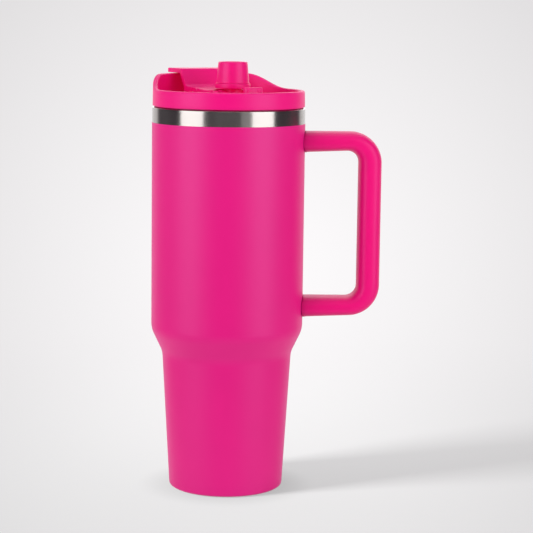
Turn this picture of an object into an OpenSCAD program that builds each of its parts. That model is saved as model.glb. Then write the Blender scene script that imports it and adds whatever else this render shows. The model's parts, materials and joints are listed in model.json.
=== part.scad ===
// Insulated tumbler with a carrying handle and a press-in lid. The lid has a straw
// spout that folds forward and a flip-up sip flap behind it.
// Millimetres. Origin at the centre of the base, +Z up, handle towards +X.
// Lid pieces are drawn in the lid's own directions: X along its two hinges,
// +Y towards its raised guard, and are then turned to where the lid sits.

/* [Cup] */
// Outer radius of the straight upper body
body_r = 49.9; // [49.5:0.1:50.5]
// Radius that the lower taper would have at the floor
foot_r = 37.5; // [36.5:0.1:38.5]
// Radius where the lower taper meets the shoulder
step_r = 42.6; // [42:0.1:43.5]
// Height where the lower taper meets the shoulder
step_z = 90.6; // [88:0.1:94]
// Height where the shoulder meets the straight body
shoulder_z = 106; // [104:0.1:108]
// Rounding at both ends of the shoulder
shoulder_round = 16; // [12:0.5:20]
// Height where the coating stops and bare steel begins
coat_z = 241.4; // [240:0.1:243]
// Height of the rim that the lid sits on
rim_z = 251.6; // [251:0.1:252]
// Thickness of the steel walls
steel = 0.6; // [0.5:0.05:0.8]
// Space between the outer wall and the liner
vacuum_gap = 2.7; // [2.4:0.1:3]

/* [Handle] */
// Distance from the cup's axis to the outer face of the grip
grip_x = 100.15; // [98:0.05:104]
// Thickness of the grip
grip_t = 15.1; // [13:0.1:17]
// Depth of the handle from front to back
grip_depth = 24; // [22:0.5:28]
// Height of the top of the upper arm
arm_top = 236.5; // [234:0.1:238]
// Height of the bottom of the lower arm at its corner
arm_bottom = 115.5; // [114:0.1:118]
// Thickness of the arms at their corners
arm_t = 12.5; // [12:0.1:14]
// How much thicker each arm is where it meets the cup
arm_flare = 1.4; // [0.5:0.1:2]
// Outer corner radius
grip_round = 20.5; // [18:0.5:22]
// Inner corner radius
grip_inner_round = 7.5; // [6:0.5:9]

/* [Lid] */
// Turn of the lid on the cup, in degrees
lid_turn = 28.5; // [0:0.5:60]
// Outer radius of the lid's ring
lid_r = 49.5; // [49:0.1:49.8]
// Thickness of the ring's upstanding wall
lid_wall = 3.3; // [3:0.1:3.6]
// Height of the low side of the ring
low_z = 262.7; // [262.2:0.1:263]
// Height of the raised guard
guard_z = 272; // [270:0.1:272.2]

/* [Spout] */
// Height of the spout's tip
spout_top = 280.9; // [278:0.1:282]
// Radius of the spout at its tip
spout_tip_r = 9.4; // [8.5:0.1:9.6]
// Radius of the spout above its collar
spout_root_r = 10.6; // [10:0.1:10.8]
// Radius of the spout's collar
collar_r = 11.4; // [11:0.1:11.5]
// Radius of the passage through spout and straw
flow_r = 3.4; // [3:0.1:3.5]

/* [Sip flap] */
// Width of the flap
flap_w = 37; // [36:0.5:42]
// Height of the top of the thumb tab
thumb_z = 275.3; // [275.2:0.1:277]
// How far back the thumb tab reaches
thumb_y = 54; // [50:0.5:56]

/* [Hidden] */
round_fn = 96;
arc_steps = 8;
running_gap = 0.07;
free_gap = 0.3;

// Cup
shell_path = [
    [33.2, 0.4, 0],
    [foot_r, 0.4, 4],
    [step_r, step_z, shoulder_round],
    [body_r, shoulder_z, shoulder_round],
    [body_r, coat_z, 0]
];
band_r = body_r - 0.1;
lip_h = 2;
liner_r = body_r - steel - vacuum_gap;
mouth_r = liner_r - steel;
liner_floor = 11.4;
liner_path = [
    [0, liner_floor, 0],
    [foot_r - 2.9, liner_floor, 8],
    [step_r - 3.3, step_z + 0.8, shoulder_round],
    [liner_r, shoulder_z + 0.8, shoulder_round],
    [liner_r, rim_z - lip_h, 0]
];
foil_path = [
    [foot_r - 2.2, 24, 0],
    [step_r - 3.3, step_z + 0.8, shoulder_round],
    [liner_r, shoulder_z + 0.8, shoulder_round],
    [liner_r, coat_z - 4, 0]
];
base_flange_r = 33.2;
base_flange_t = 0.6;
pad_r = 32.3;
pad_t = 2.6;
base_plate_z = 2.8;
dimple_r = 4.4;
dimple_h = 1.3;

// Handle
upper_arm_z = arm_top - (arm_t + arm_flare) / 2;
lower_arm_z = arm_bottom - arm_flare / 2 + (arm_t + arm_flare) / 2;
grip_inner_x = grip_x - grip_t;
section_power = 2.8;
section_points = 24;
arm_root_x = 44;
tongue = [18, 13, 2.8];
bracket_foot = [1.3, 18, 9];
screw_x = 61;
screw_r = 1.5;
screw_head_r = 2.9;
screw_head_h = 2.2;
screw_seat = 3.1;

// Lid ring and plug
seat_z = rim_z + 0.1;
plug_r = mouth_r - 0.7;
plug_wall = 2.9;
plug_bottom = 236.5;
floor_z = 244.2;
floor_t = 2.4;
ring_ledge_z = 254.4;
groove_z = 243.2;
groove_h = 4.2;
groove_depth = 1.5;
shadow_gap = [1.8, 0.7];
guard_from_y = 2;
guard_to_y = 36;
guard_bias = 1.526;
guard_steps = 24;

// Spout and its hinge
spout_y = -5;
spout_axis_z = 256.2;
drum_r = 6.2;
drum_w = 19.8;
collar_bottom = 264.1;
collar_top = 267.3;
neck_r = 5.6;
spout_pin_r = 1.6;
cheek_from = 11.9;
cheek_t = 3.5;
catch_w = 13.2;
catch_t = 2.4;
catch_top = 265.4;
catch_top_y = -30.3;
catch_foot_y = -32;
catch_rib = [1.8, 0.8];
catch_rib_x = 3.55;

// Straw
straw_r = 4.4;
straw_bottom = 17;
straw_top = 233.8;
nipple_r = 5.2;
sleeve_r = 7;
sleeve_bottom = 226;

// Sip flap and its hinge
flap_y = 13;
flap_axis_z = 259.6;
knuckle_r = 3.9;
knuckle_room = 4.65;
flap_pin_r = 1.25;
ear_t = 2.4;
ear_depth = 7.8;
deck_front_y = -1;
deck_rear_y = 25.3;
deck_slope = 1.5 / 27;
deck_t = 2.3;
thumb_t = 3;
web_run = 7.3;
web_t = 2.8;
skirt_t = 1.8;
skirt_bottom = 256;
notch_r = 12;
block_round = 3;
port_y = 23;
port_r = 4.2;
tower = [31.8, 12, 14.1];
tower_y = 17.3;
tower_wall = 1.8;

// Height of the deck's sloping top surface
function deck_z(y) = low_z + (y - deck_front_y) * deck_slope;

// ---------------------------------------------------------------- outlines

function flat(p) = [p.x, p.y];
function unit(a, b) = (b - a) / norm(b - a);
function left_of(v) = [-v.y, v.x];
function cross2(u, v) = u.x * v.y - u.y * v.x;

// Arc of radius r that rounds the corner p between a and b
function corner(a, p, b, r) =
    let (
        u = unit(p, a),
        v = unit(p, b),
        half = acos(u * v) / 2,
        start = p + u * r / tan(half),
        end = p + v * r / tan(half),
        centre = p + unit([0, 0], u + v) * r / sin(half),
        from = atan2(start.y - centre.y, start.x - centre.x),
        to = atan2(end.y - centre.y, end.x - centre.x),
        sweep = (to - from + 540) % 360 - 180
    )
    [for (i = [0 : arc_steps])
        centre + r * [cos(from + sweep * i / arc_steps), sin(from + sweep * i / arc_steps)]];

// A path of [x, z, rounding] corners as points
function rounded(path) = [
    for (i = [0 : len(path) - 1])
        each path[i].z == 0
            ? [flat(path[i])]
            : corner(flat(path[i - 1]), flat(path[i]), flat(path[i + 1]), path[i].z)
];

// The same path moved t to its left, with its roundings kept concentric
function shifted(path, t) = [
    for (i = [0 : len(path) - 1])
        let (
            last = len(path) - 1,
            before = unit(flat(path[max(i - 1, 0)]), flat(path[max(i, 1)])),
            after = unit(flat(path[min(i, last - 1)]), flat(path[min(i + 1, last)])),
            n = left_of(before) + left_of(after),
            p = flat(path[i]) + t * n / (1 + before * after),
            r = path[i].z == 0 ? 0 : path[i].z - t * sign(cross2(before, after))
        )
        [p.x, p.y, r]
];

function reversed(list) = [for (i = [len(list) - 1 : -1 : 0]) list[i]];

// Body of revolution with a wall of thickness t to the left of the path
module revolved_wall(path, t) {
    rotate_extrude($fn = round_fn)
        polygon(concat(rounded(path), reversed(rounded(shifted(path, t)))));
}

module tube(outer, inner, h) {
    difference() {
        cylinder(r = outer, h = h, $fn = round_fn);
        translate([0, 0, -1]) cylinder(r = inner, h = h + 2, $fn = round_fn);
    }
}

// Cylinder along X, centred on the origin
module rod_x(r, length) {
    rotate([0, 90, 0]) cylinder(r = r, h = length, center = true, $fn = round_fn);
}

// Outline in Y and Z, pushed out along X to both sides
module along_x(width) {
    rotate([90, 0, 90]) linear_extrude(height = width, center = true) children();
}

// Box from its lowest corner, centred on X
module box_x(width, y, z, depth, height) {
    translate([-width / 2, y, z]) cube([width, depth, height]);
}

module both_sides() {
    children();
    mirror([1, 0, 0]) children();
}

// ---------------------------------------------------------------- cup

module outer_shell() {
    color("deeppink") revolved_wall(shell_path, steel);
}

module rim_band() {
    lip = rounded([
        [band_r, coat_z, 0],
        [band_r, rim_z, 0.9],
        [mouth_r, rim_z, 0.9],
        [mouth_r, rim_z - lip_h, 0]
    ]);
    under = [[band_r - steel, rim_z - lip_h], [band_r - steel, coat_z]];
    color("silver") rotate_extrude($fn = round_fn) polygon(concat(lip, under));
}

module inner_liner() {
    color("lightgray") revolved_wall(liner_path, steel);
}

// Heat-reflecting foil round the liner, inside the vacuum
module foil_wrap() {
    color("peru") revolved_wall(shifted(foil_path, -0.3), 0.2);
}

// Getter pellet that keeps the vacuum
module getter() {
    color("dimgray") translate([16, 0, base_plate_z + steel]) cylinder(r = 4, h = 1.6, $fn = round_fn);
}

module base_plate() {
    top = base_plate_z + steel;
    color("silver") rotate_extrude($fn = round_fn) polygon([
        [1, base_plate_z + dimple_h],
        [dimple_r, base_plate_z + dimple_h],
        [dimple_r, base_plate_z],
        [base_flange_r - base_flange_t, base_plate_z],
        [base_flange_r - base_flange_t, 0.5],
        [base_flange_r, 0.5],
        [base_flange_r, top],
        [dimple_r + steel, top],
        [dimple_r + steel, top + dimple_h],
        [1, top + dimple_h]
    ]);
}

// Glass bead that seals the pumping hole
module seal_bead() {
    color("darkslategray")
        translate([0, 0, base_plate_z + 0.1]) cylinder(r = dimple_r - 0.2, h = dimple_h - 0.1, $fn = round_fn);
}

// Anti-slip pad in the base recess: its flat underside is what the cup stands on
module base_pad() {
    color("gray") cylinder(r = pad_r, h = pad_t, $fn = round_fn);
}

// ---------------------------------------------------------------- handle

function mix(a, b, t) = a + (b - a) * t;
function on_circle(centre, r, a) = centre + r * [cos(a), sin(a)];

upper_corner = [grip_x - grip_round, arm_top - grip_round];
upper_inner = [grip_inner_x - grip_inner_round, arm_top - arm_t - grip_inner_round];
lower_corner = [grip_x - grip_round, arm_bottom + grip_round];
lower_inner = [grip_inner_x - grip_inner_round, arm_bottom + arm_t + grip_inner_round];

// Pairs of points, outer and inner edge, from the upper arm's root to the lower arm's
handle_edges = concat(
    [for (t = [0 : 0.25 : 0.75]) [
        [mix(arm_root_x, upper_corner.x, t), arm_top],
        [mix(arm_root_x, upper_inner.x, t), arm_top - arm_t - arm_flare * (1 - t)]
    ]],
    [for (a = [90 : -9 : 0]) [
        on_circle(upper_corner, grip_round, a),
        on_circle(upper_inner, grip_inner_round, a)
    ]],
    [for (t = [0.2 : 0.2 : 0.8]) [
        [grip_x, mix(upper_corner.y, lower_corner.y, t)],
        [grip_inner_x, mix(upper_inner.y, lower_inner.y, t)]
    ]],
    [for (a = [0 : -9 : -90]) [
        on_circle(lower_corner, grip_round, a),
        on_circle(lower_inner, grip_inner_round, a)
    ]],
    [for (t = [0.75 : -0.25 : 0]) [
        [mix(arm_root_x, lower_corner.x, t), arm_bottom - arm_flare * (1 - t)],
        [mix(arm_root_x, lower_inner.x, t), arm_bottom + arm_t]
    ]]
);

function power(v) = sign(v) * pow(abs(v), 2 / section_power);

// One rounded section of the handle between an outer and an inner edge point
function section(edge) =
    let (middle = (edge[0] + edge[1]) / 2, reach = (edge[0] - edge[1]) / 2)
    [for (i = [0 : section_points - 1])
        let (a = 360 * i / section_points, p = middle + reach * power(cos(a)))
        [p.x, grip_depth / 2 * power(sin(a)), p.y]];

module handle_body() {
    n = section_points;
    last = len(handle_edges) - 1;
    points = [for (edge = handle_edges) each section(edge)];
    sides = [
        for (ring = [0 : last - 1], i = [0 : n - 1])
            let (a = ring * n + i, b = ring * n + (i + 1) % n)
            each [[a, a + n, b + n], [a, b + n, b]]
    ];
    polyhedron(
        points,
        concat(sides, [[for (i = [0 : n - 1]) i]], [[for (i = [n - 1 : -1 : 0]) last * n + i]]),
        convexity = 6
    );
}

// Room in the end of an arm for its bracket and its screw
module bracket_room(z, underside) {
    grow = 0.2;
    translate([0, 0, z]) {
        intersection() {
            cylinder(r = body_r + bracket_foot.x + 2 * grow, h = 40, center = true, $fn = round_fn);
            translate([body_r, 0, 0])
                cube([20, bracket_foot.y + 2 * grow, bracket_foot.z + 2 * grow], center = true);
        }
        translate([body_r, -tongue.y / 2 - grow, -tongue.z / 2 - grow])
            cube([tongue.x + 2 * grow, tongue.y + 2 * grow, tongue.z + 2 * grow]);
    }
    translate([screw_x, 0, underside - 2])
        cylinder(r = screw_head_r + grow, h = 2 + screw_seat, $fn = round_fn);
    translate([screw_x, 0, underside])
        cylinder(r = screw_r + grow, h = z - underside + 4.5, $fn = round_fn);
}

upper_underside = arm_top - arm_t - arm_flare / 2;
lower_underside = arm_bottom - arm_flare / 2;

module handle() {
    color("hotpink") difference() {
        handle_body();
        cylinder(r = body_r + 0.08, h = rim_z, $fn = round_fn);
        bracket_room(upper_arm_z, upper_underside);
        bracket_room(lower_arm_z, lower_underside);
    }
}

// Steel tab welded to the cup, with a tongue that the handle's arm slides over
module bracket(z) {
    color("silver") translate([0, 0, z]) difference() {
        union() {
            intersection() {
                cylinder(r = body_r + bracket_foot.x, h = 40, center = true, $fn = round_fn);
                translate([body_r, 0, 0]) cube([20, bracket_foot.y, bracket_foot.z], center = true);
            }
            translate([body_r - 1, -tongue.y / 2, -tongue.z / 2]) cube([tongue.x, tongue.y, tongue.z]);
        }
        cylinder(r = body_r + 0.03, h = 60, center = true, $fn = round_fn);
        translate([screw_x, 0, 0]) cylinder(r = screw_r, h = 20, center = true, $fn = round_fn);
    }
}

module upper_bracket() bracket(upper_arm_z);

module lower_bracket() bracket(lower_arm_z);

// Pan-head screw with a hexagon socket, driven up from below
module screw(z, underside) {
    seat = underside + screw_seat;
    translate([screw_x, 0, 0]) difference() {
        union() {
            translate([0, 0, seat]) cylinder(r = screw_r, h = z - seat + 3.8, $fn = round_fn);
            translate([0, 0, seat - screw_head_h])
                cylinder(r1 = screw_head_r - 0.5, r2 = screw_head_r, h = screw_head_h, $fn = round_fn);
        }
        translate([0, 0, seat - screw_head_h - 1]) cylinder(r = 1.4, h = 2.4, $fn = 6);
    }
}

module handle_screws() {
    color("silver") {
        screw(upper_arm_z, upper_underside);
        screw(lower_arm_z, lower_underside);
    }
}

// ---------------------------------------------------------------- lid

module on_lid() {
    rotate([0, 0, lid_turn]) children();
}

// Height of the ring's edge: low in front, rising in one smooth step to the guard
function ring_z(y) =
    let (t = min(max((y - guard_from_y) / (guard_to_y - guard_from_y), 0), 1))
    low_z + (guard_z - low_z) * (1 - cos(180 * pow(t, guard_bias))) / 2;

module under_ring_edge() {
    edge = [
        for (i = [0 : guard_steps])
            let (y = mix(guard_from_y, guard_to_y, i / guard_steps)) [y, ring_z(y)]
    ];
    along_x(3 * lid_r)
        polygon(concat([[-2 * lid_r, 200], [-2 * lid_r, low_z]], edge, [[2 * lid_r, guard_z], [2 * lid_r, 200]]));
}

// Ring with a shallow step under its outer edge, so that a dark line parts it from the rim
module lid_ring() {
    inner = lid_r - lid_wall;
    ledge_r = plug_r - plug_wall;
    color("deeppink") on_lid() intersection() {
        rotate_extrude($fn = round_fn) polygon([
            [ledge_r, seat_z], [lid_r - shadow_gap.x, seat_z],
            [lid_r - shadow_gap.x, seat_z + shadow_gap.y], [lid_r, seat_z + shadow_gap.y],
            [lid_r, guard_z + 1], [inner, guard_z + 1],
            [inner, ring_ledge_z], [ledge_r, ring_ledge_z]
        ]);
        under_ring_edge();
    }
}

// Hollow post that carries drink up to the sip port
module sip_tower() {
    difference() {
        box_x(tower.x, tower_y, floor_z, tower.y, tower.z);
        box_x(tower.x - 2 * tower_wall, tower_y + tower_wall, floor_z - 4,
            tower.y - 2 * tower_wall, tower.z + 4 - 2);
        translate([0, port_y, floor_z]) cylinder(r = port_r, h = 40, $fn = round_fn);
    }
}

// Seat that the spout's drum turns in
module spout_cradle() {
    front = spout_y - drum_r - 0.3;
    difference() {
        union() {
            box_x(18.8, front, floor_z - 0.1, 12.8, 6.1);
            box_x(18.8, spout_y - 2.9, floor_z - 0.1, 9.2, 10);
        }
        translate([0, spout_y, spout_axis_z]) rod_x(drum_r + free_gap, 40);
        translate([0, spout_y, floor_z + 3.2]) cylinder(r = 5.4, h = 20, $fn = round_fn);
    }
}

module lid_base() {
    groove_r = plug_r - groove_depth;
    inner = plug_r - plug_wall;
    color("mediumvioletred") on_lid() difference() {
        union() {
            rotate_extrude($fn = round_fn) polygon([
                [inner, plug_bottom], [plug_r - 0.8, plug_bottom], [plug_r, plug_bottom + 1],
                [plug_r, groove_z], [groove_r, groove_z],
                [groove_r, groove_z + groove_h], [plug_r, groove_z + groove_h],
                [plug_r, seat_z], [inner, seat_z]
            ]);
            difference() {
                translate([0, 0, floor_z - floor_t]) cylinder(r = inner + 0.2, h = floor_t, $fn = round_fn);
                box_x(tower.x - 2 * tower_wall, tower_y + tower_wall, floor_z - 4,
                    tower.y - 2 * tower_wall, 10);
            }
            sip_tower();
            spout_cradle();
            translate([0, spout_y, straw_top + 0.2])
                cylinder(r = nipple_r, h = floor_z - straw_top - 1, $fn = round_fn);
        }
        translate([0, spout_y, straw_top - 1]) cylinder(r = flow_r, h = 30, $fn = round_fn);
        translate([26, -20, floor_z - 5]) cylinder(r = 1.1, h = 10, $fn = round_fn);
    }
}

// Silicone ring with two lips that grips the mouth of the cup
module lid_gasket() {
    root = plug_r - groove_depth + 0.05;
    lip = mouth_r - 0.2;
    low = groove_z + 0.1;
    color("lavenderblush") on_lid() rotate_extrude($fn = round_fn) polygon([
        [root, low], [lip - 1.1, low], [lip, low + 0.7], [lip, low + 1.1],
        [lip - 1, low + 1.7], [lip - 1, low + 2.3], [lip, low + 2.9], [lip, low + 3.3],
        [lip - 1.1, low + 4], [root, low + 4]
    ]);
}

// Fixed block with both hinges: cheeks for the spout in front, ears for the flap behind
module hinge_block() {
    half = flap_w / 2;
    front = deck_front_y;
    rear = flap_y - 4.2;
    height = flap_axis_z - floor_z;
    color("deeppink") on_lid() difference() {
        union() {
            difference() {
                intersection() {
                    along_x(flap_w) polygon([
                        [front, floor_z], [front, deck_z(front)], [flap_y, deck_z(flap_y)],
                        [flap_y, flap_axis_z], [rear, flap_axis_z], [rear, floor_z]
                    ]);
                    translate([0, 0, floor_z]) block_footprint(half, front);
                }
                translate([0, spout_y, floor_z - 1]) cylinder(r = notch_r, h = 40, $fn = round_fn);
                translate([0, flap_y, flap_axis_z]) rod_x(knuckle_room, 2 * flap_w);
            }
            both_sides() {
                translate([half - ear_t / 2, flap_y, flap_axis_z]) rod_x(knuckle_r, ear_t);
                translate([half - ear_t, rear - 1, floor_z]) cube([ear_t, ear_depth, height]);
                spout_cheek();
            }
        }
        translate([0, flap_y, flap_axis_z]) rod_x(flap_pin_r, 2 * flap_w);
        translate([0, spout_y, spout_axis_z]) rod_x(spout_pin_r, 2 * flap_w);
    }
}

// Plan of the block, with rounded front corners
module block_footprint(half, front) {
    r = block_round;
    linear_extrude(height = 40) {
        translate([-half + r, front]) square([2 * (half - r), 30]);
        translate([-half, front + r]) square([2 * half, 30]);
        both_sides() translate([half - r, front + r]) circle(r = r, $fn = round_fn);
    }
}

// Side wall that holds one spout pin, with a boss that meets the drum
module spout_cheek() {
    boss_from = drum_w / 2 + free_gap;
    axis_h = spout_axis_z - floor_z;
    translate([cheek_from, spout_y - drum_r, floor_z]) cube([cheek_t, 2 * drum_r, axis_h]);
    translate([cheek_from + cheek_t / 2, spout_y, spout_axis_z]) rod_x(drum_r, cheek_t);
    translate([(boss_from + cheek_from + 0.5) / 2, spout_y, spout_axis_z])
        rod_x(3.4, cheek_from + 0.5 - boss_from);
}

// Tab that leans over the tip of the folded spout, with two ribs on its front
module spout_catch() {
    color("deeppink") on_lid() {
        along_x(catch_w) leaning_tab(0, catch_t, catch_top);
        both_sides() translate([catch_rib_x, 0, 0])
            along_x(catch_rib.x) leaning_tab(catch_t - 0.2, 0.2 + catch_rib.y, catch_top - 1);
    }
}

// Side view of a layer of the tab, t thick, at some depth behind its rear face
module leaning_tab(depth, t, top) {
    lean = (catch_top_y - catch_foot_y) / (catch_top - spout_axis_z);
    head = catch_foot_y - depth + (top - spout_axis_z) * lean;
    foot = catch_foot_y - depth;
    polygon([
        [foot, floor_z], [foot, spout_axis_z], [head, top],
        [head - t, top], [foot - t, spout_axis_z], [foot - t, floor_z]
    ]);
}

// Two steel pins, one in each cheek, that the spout turns on
module spout_pins() {
    color("silver") on_lid() both_sides() translate([11, spout_y, spout_axis_z]) rod_x(spout_pin_r, 8.6);
}

// Silicone ring between the drum and the passage under it
module spout_seal() {
    color("lavenderblush") on_lid() translate([0, spout_y, floor_z + 3.3]) tube(5.2, flow_r, 2.3);
}

// Folding mouthpiece: drum on the hinge, neck, collar and tapered spout
module spout() {
    half = drum_w / 2;
    color("deeppink") on_lid() translate([0, spout_y, 0]) difference() {
        union() {
            translate([0, 0, spout_axis_z]) rod_x(drum_r, drum_w);
            translate([0, 0, spout_axis_z + 3]) cylinder(r = neck_r, h = 8, $fn = round_fn);
            translate([0, 0, collar_bottom]) cylinder(r = collar_r, h = collar_top - collar_bottom, $fn = round_fn);
            translate([0, 0, collar_top - 0.5])
                cylinder(r1 = spout_root_r, r2 = spout_tip_r, h = spout_top - 0.6 - collar_top + 0.5, $fn = round_fn);
            translate([0, 0, spout_top - 0.61])
                cylinder(r1 = spout_tip_r, r2 = spout_tip_r - 0.6, h = 0.61, $fn = round_fn);
        }
        translate([0, 0, spout_axis_z - 10]) cylinder(r = flow_r, h = 60, $fn = round_fn);
        translate([0, 0, spout_top - 5]) cylinder(r = flow_r + 2.4, h = 10, $fn = round_fn);
        both_sides() translate([half, 0, spout_axis_z]) rod_x(spout_pin_r + running_gap, 6.6);
    }
}

// ---------------------------------------------------------------- straw and vent

// Soft sleeve that joins the straw to the lid
module straw_connector() {
    top = floor_z - floor_t - 0.1;
    color("lavenderblush") on_lid() translate([0, spout_y, 0]) difference() {
        translate([0, 0, sleeve_bottom]) cylinder(r = sleeve_r, h = top - sleeve_bottom, $fn = round_fn);
        translate([0, 0, sleeve_bottom - 1]) cylinder(r = straw_r + 0.1, h = 30, $fn = round_fn);
        translate([0, 0, straw_top + 0.1]) cylinder(r = nipple_r + 0.1, h = 30, $fn = round_fn);
    }
}

module straw() {
    color("pink") on_lid() translate([0, spout_y, straw_bottom])
        tube(straw_r, flow_r, straw_top - straw_bottom);
}

// Silicone valve that lets air in as the cup is drunk from
module vent_valve() {
    color("lavenderblush") on_lid() translate([26, -20, 0]) {
        translate([0, 0, floor_z - floor_t - 1.1]) cylinder(r = 3.6, h = 1, $fn = round_fn);
        translate([0, 0, floor_z - floor_t - 0.5]) cylinder(r = 1, h = floor_t + 1, $fn = round_fn);
        translate([0, 0, floor_z + 0.1]) cylinder(r = 1.8, h = 1, $fn = round_fn);
    }
}

// ---------------------------------------------------------------- sip flap

module flap_pin() {
    color("silver") on_lid() translate([0, flap_y, flap_axis_z]) rod_x(flap_pin_r, flap_w - 0.6);
}

// Z-shaped flap: knuckle and deck in front, sloping web, thumb tab over the guard
module sip_flap() {
    half = flap_w / 2;
    low_top = deck_z(deck_rear_y);
    web_top_y = deck_rear_y + web_run;
    color("deeppink") on_lid() difference() {
        union() {
            along_x(flap_w) polygon([
                [flap_y, deck_z(flap_y)], [deck_rear_y, low_top], [web_top_y, thumb_z],
                [thumb_y, thumb_z], [thumb_y, thumb_z - thumb_t],
                [web_top_y + web_t - 1, thumb_z - thumb_t],
                [deck_rear_y + web_t - 1, low_top - deck_t], [flap_y, deck_z(flap_y) - deck_t]
            ]);
            translate([0, flap_y, flap_axis_z]) rod_x(knuckle_r, flap_w - 2 * ear_t - 2 * free_gap);
            both_sides() translate([half - skirt_t, flap_y + 3, skirt_bottom])
                cube([skirt_t, deck_rear_y - flap_y, low_top - deck_t - skirt_bottom + 0.5]);
            translate([0, port_y, flap_axis_z]) cylinder(r = 5.6, h = 2.6, $fn = round_fn);
        }
        translate([0, flap_y, flap_axis_z]) rod_x(flap_pin_r + running_gap, 2 * flap_w);
        both_sides() translate([half - ear_t / 2 - free_gap + 2, flap_y, flap_axis_z])
            rod_x(knuckle_r + free_gap, ear_t + 4);
    }
}

// Silicone stopper under the flap that closes the sip port
module flap_plug() {
    rest = floor_z + tower.z;
    color("lavenderblush") on_lid() translate([0, port_y, 0]) {
        translate([0, 0, rest + 0.1]) cylinder(r = 5.4, h = flap_axis_z - rest - 0.1, $fn = round_fn);
        translate([0, 0, rest - 1.7]) cylinder(r1 = 3.4, r2 = 3.8, h = 2, $fn = round_fn);
    }
}

// ---------------------------------------------------------------- nodes

outer_shell();
rim_band();
inner_liner();
foil_wrap();
getter();
base_plate();
seal_bead();
base_pad();
handle();
upper_bracket();
lower_bracket();
handle_screws();
lid_ring();
lid_base();
lid_gasket();
hinge_block();
spout_catch();
spout_pins();
spout_seal();
spout();
straw_connector();
straw();
vent_valve();
flap_pin();
sip_flap();
flap_plug();
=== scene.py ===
"""Looks of the insulated tumbler: smooth shells, moulded lid, soft-touch handle, studio.

Lengths are in metres. The lid's pieces are built in the lid's own directions (X along
its hinges, +Y towards the raised guard) and turned onto the cup by on_lid().
"""

import json
import math

import bmesh
import bpy
from mathutils import Matrix, Vector

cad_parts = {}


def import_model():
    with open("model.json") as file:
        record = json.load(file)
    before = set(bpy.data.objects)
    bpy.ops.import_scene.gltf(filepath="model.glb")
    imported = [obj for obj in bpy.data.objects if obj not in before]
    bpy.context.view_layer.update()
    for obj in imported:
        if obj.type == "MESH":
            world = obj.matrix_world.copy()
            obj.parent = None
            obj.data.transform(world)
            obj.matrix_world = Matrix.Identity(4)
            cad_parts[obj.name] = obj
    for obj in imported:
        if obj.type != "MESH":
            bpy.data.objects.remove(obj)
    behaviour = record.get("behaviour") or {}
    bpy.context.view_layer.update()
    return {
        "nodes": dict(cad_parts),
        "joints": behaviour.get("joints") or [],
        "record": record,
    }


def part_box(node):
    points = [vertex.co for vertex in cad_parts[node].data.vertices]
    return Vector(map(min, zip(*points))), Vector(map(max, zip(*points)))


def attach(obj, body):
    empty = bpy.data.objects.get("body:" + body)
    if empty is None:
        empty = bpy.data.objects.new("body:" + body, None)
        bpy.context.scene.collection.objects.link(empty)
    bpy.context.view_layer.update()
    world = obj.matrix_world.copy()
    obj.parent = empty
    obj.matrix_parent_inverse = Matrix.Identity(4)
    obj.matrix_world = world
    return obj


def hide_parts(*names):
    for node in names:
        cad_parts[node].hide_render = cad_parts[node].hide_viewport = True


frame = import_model()
MM = 0.001


# ---------------------------------------------------------------- places from the frame

def low(node):
    """Lowest corner of a CAD node's box."""
    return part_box(node)[0]


def high(node):
    """Highest corner of a CAD node's box."""
    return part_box(node)[1]


def joint(name):
    return next(j for j in frame["joints"] if j["name"] == name)


BODY_R = high("outer_shell").x
COAT_Z = high("outer_shell").z
RIM_Z = high("rim_band").z
LINER_Z = low("inner_liner").z
SEAT_Z = low("lid_ring").z
GUARD_Z = high("lid_ring").z
LID_R = high("lid_ring").x
GRIP_X = high("handle").x
GRIP_HALF = high("handle").y
ARM_TOP = high("handle").z
THUMB_Z = high("sip_flap").z
SPOUT_TOP = high("spout").z
FLOOR_Z = low("hinge_block").z
HINGE_AXIS = Vector(joint("spout_fold")["axis"])
LID_TURN = math.atan2(HINGE_AXIS.y, HINGE_AXIS.x)


def in_lid(point):
    """A point of the frame in the lid's own directions."""
    return Matrix.Rotation(-LID_TURN, 3, "Z") @ Vector(point)


SPOUT_AXIS = in_lid(joint("spout_fold")["pos_m"])
FLAP_AXIS = in_lid(joint("flap_lift")["pos_m"])


# ---------------------------------------------------------------- outlines

def arc(centre, radius, start, end, steps=8):
    """Points on an arc, angles in degrees."""
    angles = [math.radians(start + (end - start) * i / steps) for i in range(steps + 1)]
    return [(centre[0] + radius * math.cos(a), centre[1] + radius * math.sin(a)) for a in angles]


def round_corner(a, p, b, radius, steps=8):
    """Points of the arc that rounds corner p between a and b."""
    a, p, b = Vector(a), Vector(p), Vector(b)
    u, v = (a - p).normalized(), (b - p).normalized()
    half = u.angle(v) / 2
    centre = p + (u + v).normalized() * radius / math.sin(half)
    first = p + u * radius / math.tan(half) - centre
    last = p + v * radius / math.tan(half) - centre
    turn = math.atan2(first.x * last.y - first.y * last.x, first.dot(last))
    return [tuple(centre + Matrix.Rotation(turn * i / steps, 2) @ first) for i in range(steps + 1)]


def rounded(path, closed=False, steps=8):
    """A path of (x, z) or (x, z, rounding) corners, in millimetres, as points in metres."""
    points = []
    count = len(path)
    for i, corner in enumerate(path):
        p = [c * MM for c in corner[:2]]
        radius = corner[2] * MM if len(corner) > 2 else 0
        inside = closed or 0 < i < count - 1
        if radius and inside:
            a = [c * MM for c in path[i - 1][:2]]
            b = [c * MM for c in path[(i + 1) % count][:2]]
            points += round_corner(a, p, b, radius, steps)
        else:
            points.append(tuple(p))
    return points


def refined(points, longest, closed=False):
    """The same outline with no step longer than the given one."""
    result = []
    pairs = list(zip(points, points[1:] + points[:1]))
    for a, b in pairs if closed else pairs[:-1]:
        a, b = Vector(a), Vector(b)
        steps = max(1, math.ceil((b - a).length / longest))
        result += [tuple(a.lerp(b, i / steps)) for i in range(steps)]
    return result if closed else result + [points[-1]]


# ---------------------------------------------------------------- meshes

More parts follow.
